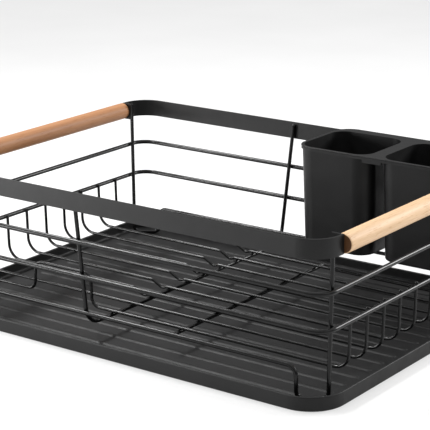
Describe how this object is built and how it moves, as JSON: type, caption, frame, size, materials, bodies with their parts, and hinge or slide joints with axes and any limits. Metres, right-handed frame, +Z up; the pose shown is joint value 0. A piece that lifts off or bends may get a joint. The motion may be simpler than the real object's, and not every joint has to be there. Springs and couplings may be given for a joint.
{
  "type": "dish drying rack",
  "caption": "Wire dish basket hung in a flat metal rim with round wooden side handles, standing in a ribbed drip tray, with a lift-off double cutlery tub.",
  "frame": {"origin": "centre of the drip tray's underside", "axes": "+X along the rack's long side, from the left handle to the right handle, +Y to the back, where the cutlery holder hangs, +Z up"},
  "size_m": [0.496, 0.364, 0.159],
  "materials": {
    "basket_wire": "satin black coated steel wire",
    "rim_band": "satin charcoal coated steel strip",
    "handle_wood": "pale beech, sealed, satin",
    "screw_steel": "blackened steel",
    "tray_plastic": "matte dark grey moulded plastic",
    "holder_plastic": "matte black moulded plastic"
  },
  "bodies": {
    "tray": {"drip_tray": "tray_plastic"},
    "rack": {"rim_band_front": "rim_band", "rim_band_back": "rim_band", "handle_left": "handle_wood", "handle_right": "handle_wood", "handle_screws": "screw_steel", "upper_ring_wire": "basket_wire", "middle_ring_wire": "basket_wire", "frame_wire_front": "basket_wire", "frame_wire_back": "basket_wire", "middle_u_wire": "basket_wire", "cross_wire": "basket_wire", "base_wire_1": "basket_wire", "base_wire_2": "basket_wire", "base_wire_3": "basket_wire", "base_wire_4": "basket_wire", "base_wire_5": "basket_wire", "base_wire_6": "basket_wire", "base_wire_7": "basket_wire", "base_wire_8": "basket_wire", "base_wire_9": "basket_wire"},
    "cutlery": {"cutlery_holder": "holder_plastic"}
  },
  "joints": [
    {"name": "rack_lift", "type": "slide", "parent": "tray", "child": "rack", "axis": [0, 0, 1], "range_m": [0, 0.05]},
    {"name": "cutlery_lift", "type": "slide", "parent": "rack", "child": "cutlery", "axis": [0, 0, 1], "range_m": [0, 0.13]}
  ]
}
